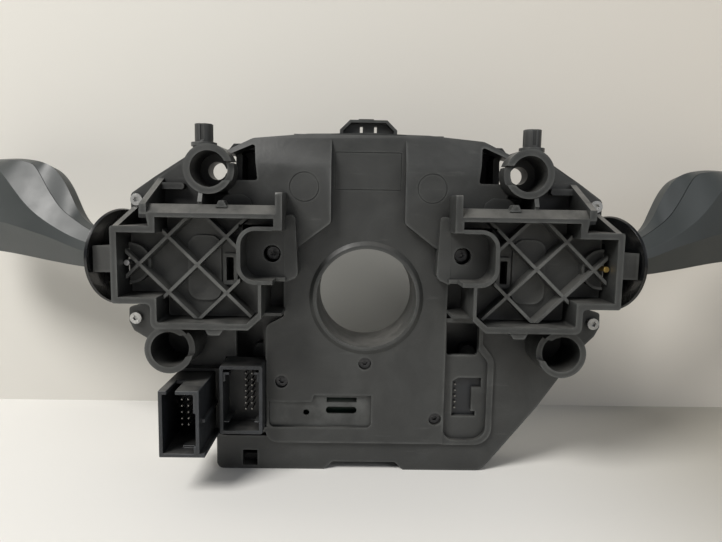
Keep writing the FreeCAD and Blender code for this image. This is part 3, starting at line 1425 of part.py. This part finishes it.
low_lobe = [(-11, -22), (-12.4, -26.4, 1.5), (-6, 0.4 - cam_radius, 8), (6, 0.4 - cam_radius, 8), (12.4, -26.4, 1.5), (11, -22)]
add(cam, "ring", [Round(0, 0, hub_outer + 1.2)], 15, 15 + cam_width)
add(cam, "lobe_high", [lobe], 15, 15 + cam_width)
add(cam, "lobe_low", [low_lobe], 15, 15 + cam_width)
cut(cam, "seat", [Round(0, 0, hub_outer)], 14, 16 + cam_width)
cam.finish()
pawl = make_body("cancel_pawl")
nose = [(cam_radius + 0.8, -0.8, 0.4), (cam_radius + 4, -2.5), (50, -2.5), (50, 2.5), (cam_radius + 4, 2.5), (cam_radius + 0.8, 0.8, 0.4)]
add(pawl, "pawl", [nose], module_front + 0.3, module_front + 3.4)

wheel_side = Moulding("wheel_connector")
add(wheel_side, "shell", [box(-15, 28.4, 15, 40.4, 1)], rotor_front, rotor_front + 11)
cut(wheel_side, "socket", [box(-13.4, 30, 13.4, 38.8, 0.6)], rotor_front + 2, rotor_front + 12)
cut(wheel_side, "latch_slot", [box(-3, 38, 3, 41)], rotor_front + 6, rotor_front + 12)
wheel_side.finish()
pin_row = [(-6.35, 33), (-6.35, 33 + pin_pitch)]
pins("wheel_pins", pin_row, rotor_front + 2, rotor_front + 8, pin_pitch, "H_Axis", 6)
sockets = Moulding("airbag_sockets")
add(sockets, "shells", both(box(3, -40, 13, -30, 1)), rotor_front, rotor_front + 8)
cut(sockets, "openings", both(box(4.4, -38.6, 11.6, -31.4, 0.8)), rotor_front + 1.6, rotor_front + 9)
sockets.finish()

doc.recompute()

failed = [item.Label for item in doc.Objects if "Invalid" in item.State or "Error" in item.State]
for piece in pieces:
    if piece.Shape.isNull() or not piece.Shape.isValid() or not piece.Shape.Solids:
        failed.append(piece.Label)
if failed:
    raise RuntimeError("not built: " + ", ".join(failed))
os.makedirs("parts", exist_ok=True)
for piece in pieces:
    piece.Shape.exportStep("parts/" + piece.Label + ".step")
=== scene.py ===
import json
import math

import bmesh
import bpy
from mathutils import Matrix, Vector


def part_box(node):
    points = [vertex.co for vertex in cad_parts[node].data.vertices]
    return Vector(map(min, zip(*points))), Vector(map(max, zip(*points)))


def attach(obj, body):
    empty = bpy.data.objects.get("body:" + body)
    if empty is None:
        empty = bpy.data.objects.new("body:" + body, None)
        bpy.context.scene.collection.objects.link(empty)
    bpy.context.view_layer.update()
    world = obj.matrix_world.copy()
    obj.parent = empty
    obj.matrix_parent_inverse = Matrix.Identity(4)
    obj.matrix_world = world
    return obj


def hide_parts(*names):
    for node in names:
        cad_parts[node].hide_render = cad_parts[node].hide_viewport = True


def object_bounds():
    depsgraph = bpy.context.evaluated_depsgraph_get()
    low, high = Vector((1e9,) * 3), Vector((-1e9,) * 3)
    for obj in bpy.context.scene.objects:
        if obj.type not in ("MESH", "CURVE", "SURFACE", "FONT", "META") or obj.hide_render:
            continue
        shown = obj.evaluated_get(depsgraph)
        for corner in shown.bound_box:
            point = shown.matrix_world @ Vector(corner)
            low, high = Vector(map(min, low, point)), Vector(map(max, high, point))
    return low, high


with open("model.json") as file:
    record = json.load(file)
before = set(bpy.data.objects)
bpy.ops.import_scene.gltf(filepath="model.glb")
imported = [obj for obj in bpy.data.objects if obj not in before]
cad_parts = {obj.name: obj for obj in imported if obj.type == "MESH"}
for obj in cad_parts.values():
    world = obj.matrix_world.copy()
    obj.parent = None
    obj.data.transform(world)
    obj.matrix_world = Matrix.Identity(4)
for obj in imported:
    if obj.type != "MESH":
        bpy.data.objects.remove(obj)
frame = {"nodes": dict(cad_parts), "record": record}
cad_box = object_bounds()
scene = bpy.context.scene
nodes = frame["nodes"]

# Camera, from the fit to the photograph
pitch, yaw, roll = math.radians(6.49), math.radians(0.81), math.radians(0.93)
forward = Vector((math.sin(yaw) * math.cos(pitch), math.cos(yaw) * math.cos(pitch), -math.sin(pitch)))
level = Vector((math.cos(yaw), -math.sin(yaw), 0))
upward = level.cross(forward)
across = math.cos(roll) * level + math.sin(roll) * upward
above = math.cos(roll) * upward - math.sin(roll) * level
camera = bpy.data.objects.new("camera", bpy.data.cameras.new("camera"))
scene.collection.objects.link(camera)
turned = Matrix((across, above, -forward)).transposed().to_4x4()
camera.matrix_world = Matrix.Translation((-0.0058, -0.2422, 0.0389)) @ turned
camera.data.sensor_width = 36
camera.data.lens = 29.63
camera.data.clip_start = 0.01
scene.camera = camera
scene.view_settings.view_transform = "Standard"


# Material nodes, written as sums and products of sockets
class Socket:
    def __init__(self, net, socket):
        self.net = net
        self.socket = socket

    def math(self, kind, other=0.0, clamp=False):
        node = self.net.tree.nodes.new("ShaderNodeMath")
        node.operation = kind
        node.use_clamp = clamp
        self.net.feed(node.inputs[0], self)
        self.net.feed(node.inputs[1], other)
        return Socket(self.net, node.outputs[0])

    def __add__(self, other):
        return self.math("ADD", other)

    def __sub__(self, other):
        return self.math("SUBTRACT", other)

    def __mul__(self, other):
        return self.math("MULTIPLY", other)

    def __rmul__(self, other):
        return self.math("MULTIPLY", other)

    def __radd__(self, other):
        return self.math("ADD", other)

    def ramp(self, low, high, to_low=0.0, to_high=1.0):
        node = self.net.tree.nodes.new("ShaderNodeMapRange")
        node.interpolation_type = "SMOOTHSTEP"
        limits = {"Value": self, "From Min": low, "From Max": high, "To Min": to_low, "To Max": to_high}
        for name, number in limits.items():
            self.net.feed(node.inputs[name], number)
        return Socket(self.net, node.outputs[0])


class Net:
    def __init__(self, name, world=False):
        self.owner = bpy.data.worlds.new(name) if world else bpy.data.materials.new(name)
        self.owner.use_nodes = True
        self.tree = self.owner.node_tree
        self.shader = self.tree.nodes.get("Background" if world else "Principled BSDF")

    def feed(self, slot, source):
        if isinstance(source, Socket):
            self.tree.links.new(source.socket, slot)
        elif isinstance(source, tuple):
            slot.default_value = source if len(source) == len(slot.default_value) else source + (1.0,)
        else:
            slot.default_value = source

    def make(self, kind, output=0, **inputs):
        node = self.tree.nodes.new(kind)
        for name, source in inputs.items():
            self.feed(node.inputs[name.replace("_", " ")], source)
        return Socket(self, node.outputs[output])

    def place(self):
        return self.make("ShaderNodeTexCoord", "Object")

    def stretched(self, x, y, z):
        return self.make("ShaderNodeMapping", Vector=self.place(), Scale=(x, y, z))

    def noise(self, scale, detail=4.0, rough=0.55, distortion=0.0, where=None):
        where = where or self.place()
        look = {"Scale": scale, "Detail": detail, "Roughness": rough, "Distortion": distortion}
        return self.make("ShaderNodeTexNoise", Vector=where, **look)

    def cells(self, scale, where=None):
        return self.make("ShaderNodeTexVoronoi", Vector=where or self.place(), Scale=scale)

    def mix(self, amount, first, second):
        node = self.tree.nodes.new("ShaderNodeMix")
        node.data_type = "RGBA"
        self.feed(node.inputs["Factor"], amount)
        self.feed(node.inputs[6], first)
        self.feed(node.inputs[7], second)
        return Socket(self, node.outputs[2])

    def axis(self, number, source=None):
        return self.make("ShaderNodeSeparateXYZ", number, Vector=source or self.place())

    # How open a spot is: recesses from outside, edges from inside
    def closeness(self, distance, inside=False):
        node = self.tree.nodes.new("ShaderNodeAmbientOcclusion")
        node.samples = 6
        node.inside = inside
        node.inputs["Distance"].default_value = distance
        return Socket(self, node.outputs["AO"])

    def bump(self, height, strength, distance):
        return self.make("ShaderNodeBump", Height=height, Strength=strength, Distance=distance)

    def finish(self, **inputs):
        for name, source in inputs.items():
            self.feed(self.shader.inputs[name.replace("_", " ")], source)
        return self.owner


def shade(rgb, factor):
    return tuple(min(1.0, v * factor) for v in rgb)


# Glass-filled moulding: cloudy flow marks, fine grain, pale scuffs, edges paler from wear and a painted
# highlight, upward faces paler from dust and painted light from above, and painted shade darkening the
# recesses
def moulded(name, rgb, light=1.7, rough=0.52, grain=0.5, scuffs=0.35, pale_marks=0.4, painted_recess_shade=0.85):
    net = Net(name)
    cloud = net.noise(38, 5, 0.6, 1.2).ramp(0.35, 0.7)
    fine = net.noise(900, 3, 0.7)
    specks = net.noise(2400, 2, 0.6).ramp(0.62, 0.78)
    marks = net.noise(60, 6, 0.65, 0.4, net.stretched(1, 1, 6)).ramp(0.6, 0.72) * scuffs
    base = net.mix(cloud * 0.6 + fine * 0.25, rgb, shade(rgb, light))
    base = net.mix(marks, base, shade(rgb, light * 1.7))
    base = net.mix(specks * 0.22, base, shade(rgb, 3.2))
    # Upward faces paler: dust together with painted light from above
    upward_part = net.axis(2, net.make("ShaderNodeNewGeometry", "Normal")).ramp(0.3, 0.95)
    dust_and_top_light = upward_part * net.noise(120, 4, 0.6).ramp(0.2, 0.7) * 0.5
    base = net.mix(dust_and_top_light, base, (0.2, 0.195, 0.18))
    # Edges paler: wear together with a painted highlight, found by ambient occlusion from inside
    edge_patches = net.noise(90, 4, 0.6).ramp(0.25, 0.7)
    edge = net.closeness(0.0013, True).ramp(0.55, 0.95, 1.0, 0.0) * edge_patches * pale_marks
    base = net.mix(edge, base, shade(rgb, 4.5))
    # Painted shade: recesses darkened towards near black by ambient occlusion
    base = net.mix(net.closeness(0.016).ramp(0.05, 0.85, painted_recess_shade, 0.0), base, shade(rgb, 0.12))
    roughness = net.noise(70, 4, 0.6).ramp(0.3, 0.75, rough - 0.08, rough + 0.12)
    height = fine * grain + net.cells(620) * (grain * 0.6)
    return net.finish(Base_Color=base, Roughness=roughness, Normal=net.bump(height, 0.25, 0.0002))


# Satin paint-like plastic of the levers with a soft leather-like grain
def satin(name, rgb, rough=0.42, grain=0.35):
    net = Net(name)
    cloud = net.noise(22, 3, 0.5).ramp(0.3, 0.75)
    base = net.mix(cloud, shade(rgb, 0.92), shade(rgb, 1.1))
    pale_marks = net.noise(55, 6, 0.65, 0.6).ramp(0.62, 0.75) * 0.18
    base = net.mix(pale_marks, base, shade(rgb, 1.6))
    roughness = net.noise(45, 4, 0.6).ramp(0.3, 0.75, rough - 0.05, rough + 0.08)
    height = net.cells(1500) * grain + net.noise(2600, 2, 0.5) * 0.3
    return net.finish(Base_Color=base, Roughness=roughness, Normal=net.bump(height, 0.12, 0.0001))


def gloss(name, rgb, rough=0.12):
    net = Net(name)
    smear = net.noise(50, 4, 0.6, 0.8).ramp(0.4, 0.75)
    base = net.mix(smear * 0.4, rgb, shade(rgb, 1.8))
    return net.finish(Base_Color=base, Roughness=smear * 0.16 + rough, Coat_Weight=0.3,
                      Normal=net.bump(net.noise(180, 2, 0.5), 0.05, 0.0002))


def metal(name, rgb, rough=0.3, dirt=0.3):
    net = Net(name)
    stain = net.noise(260, 4, 0.65).ramp(0.45, 0.75) * dirt
    base = net.mix(stain, rgb, shade(rgb, 0.35))
    brushed = net.noise(700, 3, 0.6, 0.0, net.stretched(1, 1, 5))
    return net.finish(Base_Color=base, Metallic=1.0, Roughness=stain * 0.4 + brushed * 0.15 + rough,
                      Normal=net.bump(brushed, 0.08, 0.0001))


def board_face(name):
    net = Net(name)
    tracks = net.cells(420).ramp(0.2, 0.35)
    # Near-black green: the board darkened as painted shade for its place deep inside the housing
    base = net.mix(tracks, (0.002, 0.009, 0.005), (0.004, 0.015, 0.009))
    return net.finish(Base_Color=base, Roughness=net.noise(90).ramp(0.2, 0.8, 0.25, 0.4))


def film(name):
    net = Net(name)
    bands = net.noise(900, 2, 0.4, 0.0, net.stretched(0.02, 1, 0.02)).ramp(0.45, 0.55)
    base = net.mix(bands, (0.55, 0.3, 0.08), (0.7, 0.55, 0.3))
    return net.finish(Base_Color=base, Roughness=net.noise(60).ramp(0.2, 0.8, 0.2, 0.35))


finishes = {
    "housing_black": moulded("housing_black", (0.026, 0.027, 0.026), 1.75, 0.46, 0.5, 0.3, 0.55),
    "module_black": moulded("module_black", (0.042, 0.043, 0.041), 1.6, 0.48, 0.4, 0.25, 0.4, 0.4),
    "connector_dark": moulded("connector_dark", (0.012, 0.0135, 0.0155), 1.5, 0.4, 0.25, 0.2, 0.5),
    "connector_light": moulded("connector_light", (0.5, 0.5, 0.47), 1.15, 0.5, 0.2, 0.1),
    "connector_yellow": moulded("connector_yellow", (0.65, 0.42, 0.04), 1.2, 0.45, 0.2, 0.1),
    "component_black": moulded("component_black", (0.02, 0.02, 0.02), 1.5, 0.4, 0.2, 0.1),
    "board_green": board_face("board_green"),
    "case_grey": moulded("case_grey", (0.16, 0.16, 0.155), 1.35, 0.48, 0.35, 0.2),
    "ribbon_film": film("ribbon_film"),
    "cam_white": moulded("cam_white", (0.62, 0.61, 0.57), 1.12, 0.42, 0.15, 0.1),
    "switch_black": satin("switch_black", (0.02, 0.02, 0.021), 0.4, 0.3),
    "grip_grey": satin("grip_grey", (0.037, 0.042, 0.042)),
    "disc_gloss": gloss("disc_gloss", (0.004, 0.0045, 0.005), 0.22),
    "pin_tin": metal("pin_tin", (0.3, 0.29, 0.27), 0.3, 0.3),
    "pin_steel": metal("pin_steel", (0.6, 0.6, 0.6), 0.28, 0.2),
    "pin_brass": metal("pin_brass", (0.72, 0.5, 0.16), 0.28, 0.3),
    "screw_zinc": metal("screw_zinc", (0.5, 0.5, 0.49), 0.3, 0.6),
    "screw_dark": metal("screw_dark", (0.07, 0.07, 0.072), 0.36, 0.5),
}
slot_of = {entry["node"]: entry["material_slot"] for entry in frame["record"]["subparts"]}
soft_edges = {"rear_housing": 0.3, "front_housing": 0.4, "power_connector": 0.25, "data_connector": 0.2}
for name, node in nodes.items():
    for i in range(len(node.material_slots)):
        node.material_slots[i].material = finishes[slot_of[name]]
    if not node.material_slots:
        node.data.materials.append(finishes[slot_of[name]])
    weld = node.modifiers.new("weld", "WELD")
    weld.merge_threshold = 0.000005
    flat = node.modifiers.new("flat", "DECIMATE")
    flat.decimate_type = "DISSOLVE"
    flat.angle_limit = math.radians(0.5)
    width = soft_edges.get(name, 0.25 if "module" in name or "grip" in name else 0.12)
    bevel = node.modifiers.new("edges", "BEVEL")
    bevel.width = width / 1000
    bevel.segments = 2
    bevel.limit_method = "ANGLE"
    bevel.angle_limit = math.radians(35)
    bevel.use_clamp_overlap = True
    node.modifiers.new("normals", "WEIGHTED_NORMAL")

# Grips: smooth shells through the lever's stations, cut for the wheel, rocker and button
lever_angle = math.radians(26)
lever_foot = (101.4, 6.2)
stations = [
    (12, 9.2, 16.6, 20.2, 24.6, 25.6, 6.0, 5.4), (19, 9.5, 17.8, 21.8, 26.7, 27.8, 7.0, 6.2),
    (27, 10, 20.2, 24.6, 30.8, 32.2, 7.8, 7.0), (34, 10.7, 22.4, 27.8, 34.3, 46.0, 8.6, 7.6),
    (42, 11.4, 24.2, 32.0, 43.2, 53.0, 9.4, 8.2), (49, 12.2, 25.8, 37.2, 54.2, 55.2, 10.0, 8.6),
    (60, 13.2, 28.0, 48.6, 55.8, 56.6, 10.4, 8.8), (66, 13.6, 28.4, 53.6, 56.0, 56.8, 10.5, 8.9),
    (96, 15.2, 29.2, 53.2, 55.6, 56.4, 10.2, 8.8), (115, 19.0, 30.5, 46.6, 49.8, 50.8, 8.6, 7.4)]
step = 1.03


def resampled():
    rows = []
    for i in range(101):
        reach = 12 + i * step
        passed = sum(station[0] < reach - 0.001 for station in stations)
        after = min(max(passed, 1), len(stations) - 1)
        near, far = stations[after - 1], stations[after]
        part = (reach - near[0]) / (far[0] - near[0])
        rows.append([a + (b - a) * part for a, b in zip(near, far)])
    for sweep in range(16):
        trios = zip(rows, rows[1:], rows[2:])
        inner = [[(a + 2 * b + c) / 4 for a, b, c in zip(*trio)] for trio in trios]
        rows = [rows[0]] + inner + [rows[-1]]
    return rows


def in_world(side, reach, thick, up):
    east = lever_foot[0] + reach * math.cos(lever_angle) - thick * math.sin(lever_angle)
    north = lever_foot[1] + reach * math.sin(lever_angle) + thick * math.cos(lever_angle)
    return Vector((side * east, north, up)) / 1000


def rear_outline(reach, low, crease, edge, seam, top, back, front):
    return [(-0.15, low), (-0.55 * back, low + 0.7), (-back, crease), (0.7 - back, edge), (-2.65, seam)]


def front_outline(reach, low, crease, edge, seam, top, back, front):
    under = [(0.1, low), (0.65 * front, low + 1.4), (front, low + 8)]
    return under + [(front, top - 7), (0.7 * front, top - 2), (0.8, top), (-2.35, seam)]


def loop(work, points):
    corners = [work.verts.new(point) for point in points]
    return [work.edges.new((corners[k - 1], corners[k])) for k in range(len(corners))]


def solid(name, loops):
    work = bmesh.new()
    rings = [loop(work, points) for points in loops]
    for first, second in zip(rings, rings[1:]):
        bmesh.ops.bridge_loops(work, edges=first + second)
    for ring in (rings[0], rings[-1]):
        bmesh.ops.contextual_create(work, geom=ring)
    bmesh.ops.recalc_face_normals(work, faces=work.faces)
    mesh = bpy.data.meshes.new(name)
    work.to_mesh(mesh)
    work.free()
    piece = bpy.data.objects.new(name, mesh)
    scene.collection.objects.link(piece)
    return piece


def block_room(side, reaches, thicks, ups):
    corners = ((thicks[0], ups[0]), (thicks[1], ups[0]), (thicks[1], ups[1]), (thicks[0], ups[1]))
    return solid("room", [[in_world(side, reach, *corner) for corner in corners] for reach in reaches])


def round_room(side, reaches, radius, up):
    turns = [k * math.tau / 64 for k in range(64)]
    spots = [(radius * math.cos(turn), up + radius * math.sin(turn)) for turn in turns]
    return solid("room", [[in_world(side, reach, *spot) for spot in spots] for reach in reaches])


def hollowed(piece, rooms):
    for room in rooms:
        opening = piece.modifiers.new("opening", "BOOLEAN")
        opening.operation = "DIFFERENCE"
        opening.solver = "EXACT"
        opening.object = room
    bpy.context.view_layer.update()
    shape = bpy.data.meshes.new_from_object(piece.evaluated_get(bpy.context.evaluated_depsgraph_get()))
    piece.modifiers.clear()
    shape.name = piece.name
    piece.data = shape
    for room in rooms:
        bpy.data.objects.remove(room)


rows = resampled()
for word in ("wiper", "turn"):
    near_corner, far_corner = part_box(word + "_grip_rear")
    side = 1 if near_corner[0] + far_corner[0] > 0 else -1
    for part, outline in (("rear", rear_outline), ("front", front_outline)):
        node = word + "_grip_" + part
        loops = [[in_world(side, row[0], *point) for point in outline(*row)] for row in rows]
        grip = solid(node + "_shell", loops)
        flange_room = block_room(side, (107, 111.8), (-4.9, 4.9), (29.4, 43.6))
        button_opening = block_room(side, (108, 117), (-3.9, 3.9), (30.6, 42.4))
        rooms = [flange_room, button_opening]
        if word == "wiper":
            rooms.append(round_room(side, (74.6, 88.8), 12.5, 38.6))
        else:
            rooms.append(block_room(side, (81.8, 102.2), (-3.9, 3.9), (42, 60)))
        hollowed(grip, rooms)
        grip.data.materials.clear()
        grip.data.materials.append(finishes["grip_grey"])
        for face in grip.data.polygons:
            face.use_smooth = True
        softened = grip.modifiers.new("edges", "BEVEL")
        softened.width = 0.0011
        softened.segments = 4
        softened.limit_method = "ANGLE"
        softened.angle_limit = math.radians(14)
        softened.use_clamp_overlap = True
        grip.modifiers.new("normals", "WEIGHTED_NORMAL")
        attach(grip, word + "_lever")
        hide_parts(node)

# Floor and wall of the plain set: painted shadow greying the floor to the right, and a painted shadow
# darkening the wall behind the bore
paper = Net("paper")
paper_tone = paper.noise(3, 2, 0.5).ramp(0.3, 0.7)
paper_base = paper.mix(paper_tone, (0.74, 0.73, 0.7), (0.78, 0.77, 0.74))
# Painted shadow: the floor turns darker grey towards the right
painted_floor_shadow = paper.axis(0).ramp(0.04, 0.2)
paper_finish = paper.finish(Base_Color=paper.mix(painted_floor_shadow, paper_base, (0.42, 0.4, 0.35)), Roughness=0.75)
wall_net = Net("wall_paint")
wall_tone = wall_net.mix(wall_net.noise(2.2, 2, 0.5), (0.63, 0.615, 0.57), (0.67, 0.65, 0.605))
wall_tone = wall_net.mix(wall_net.axis(0).ramp(-0.1, 0.3), wall_tone, (0.68, 0.64, 0.575))
# Painted shadow: a dark grey patch on the wall behind the bore
painted_shadow_distance = (wall_net.axis(0) - 0.002).math("POWER", 2.0) + (wall_net.axis(2) + 0.014).math("POWER", 2.0)
wall_tone = wall_net.mix(painted_shadow_distance.ramp(0.0013, 0.0024), (0.24, 0.24, 0.225), wall_tone)
wall_finish = wall_net.finish(Base_Color=wall_tone, Roughness=0.8)
behind = wall_net.make("ShaderNodeNewGeometry", "Backfacing")
clear = wall_net.make("ShaderNodeBsdfTransparent")
both_sides = wall_net.tree.nodes.new("ShaderNodeMixShader")
wall_net.feed(both_sides.inputs[0], behind)
wall_net.tree.links.new(wall_net.shader.outputs[0], both_sides.inputs[1])
wall_net.tree.links.new(clear.socket, both_sides.inputs[2])
wall_net.tree.links.new(both_sides.outputs[0], wall_net.tree.nodes["Material Output"].inputs[0])


def sheet(name, corners, material):
    mesh = bpy.data.meshes.new(name)
    work = bmesh.new()
    work.faces.new([work.verts.new(corner) for corner in corners])
    work.to_mesh(mesh)
    work.free()
    piece = bpy.data.objects.new(name, mesh)
    mesh.materials.append(material)
    scene.collection.objects.link(piece)


ground = cad_box[0][2]
back = 0.087
sheet("floor", [(-3, -3, ground), (3, -3, ground), (3, 3, ground), (-3, 3, ground)], paper_finish)
sheet("wall", [(-3, back, ground), (3, back, ground), (3, back, 3), (-3, back, 3)], wall_finish)


def lamp(name, place, target, size, power, tint):
    data = bpy.data.lights.new(name, "AREA")
    data.shape = "DISK"
    data.size = size
    data.energy = power
    data.color = tint
    light = bpy.data.objects.new(name, data)
    light.location = place
    light.rotation_euler = (Vector(target) - Vector(place)).to_track_quat("-Z", "Y").to_euler()
    scene.collection.objects.link(light)


lamp("key", (-0.75, -0.75, 1.05), (0, 0, 0), 0.6, 22, (1.0, 0.98, 0.95))
lamp("fill", (0.9, -0.9, 0.5), (0, 0, 0), 0.9, 3, (0.95, 0.97, 1.0))
sky = Net("sky", True)
camera_ray = sky.make("ShaderNodeLightPath", "Is Camera Ray")
sky.feed(sky.shader.inputs["Color"], sky.mix(camera_ray, (0.9, 0.93, 1.0), (0.72, 0.68, 0.62)))
sky.feed(sky.shader.inputs["Strength"], 0.2)
scene.world = sky.owner
